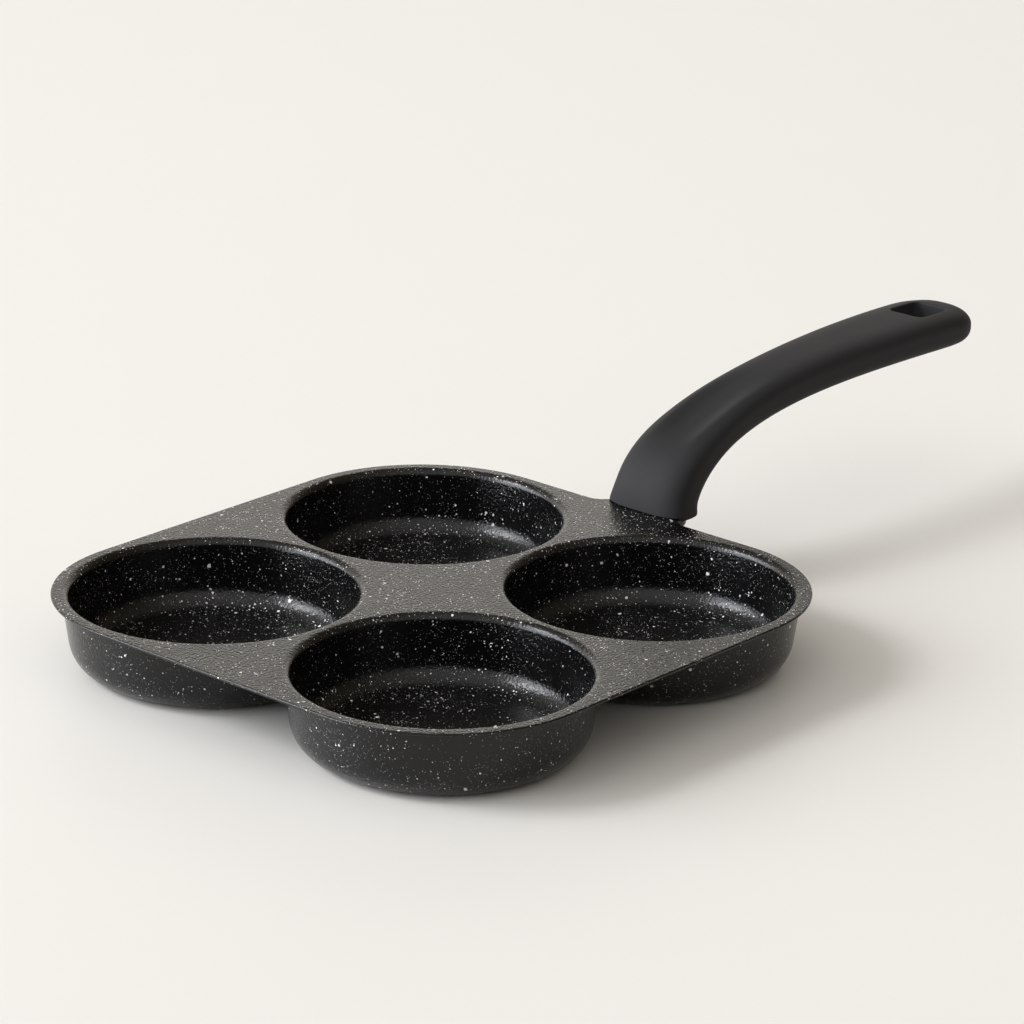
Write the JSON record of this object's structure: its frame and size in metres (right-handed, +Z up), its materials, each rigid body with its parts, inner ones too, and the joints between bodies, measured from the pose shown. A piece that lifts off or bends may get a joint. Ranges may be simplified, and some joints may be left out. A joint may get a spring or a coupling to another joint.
{
  "type": "four-cup egg pan",
  "caption": "Square frying pan with round egg cups sunk into a flat deck and a curved handle that stands on a tab at one side.",
  "frame": {"origin": "middle of the pan's footprint, handle included, on the surface that the cups stand on", "axes": "+X from the pan along the handle to its tip, +Z up out of the cups, +Y to the left seen from the pan towards the handle"},
  "size_m": [0.3668, 0.1958, 0.0616],
  "materials": {
    "stone_coating": "cast aluminium under a dark satin stone-effect non-stick coating with pale flecks",
    "handle_plastic": "matte charcoal moulded heat-resistant plastic",
    "zinc_steel": "zinc-plated steel",
    "spring_steel": "dark spring steel",
    "insert_brass": "plain turned brass"
  },
  "bodies": {
    "root": {"pan_body": "stone_coating", "handle": "handle_plastic", "handle_screw_left": "zinc_steel", "handle_screw_right": "zinc_steel", "flat_washer_left": "zinc_steel", "flat_washer_right": "zinc_steel", "spring_washer_left": "spring_steel", "spring_washer_right": "spring_steel", "threaded_insert_left": "insert_brass", "threaded_insert_right": "insert_brass"}
  },
  "joints": []
}
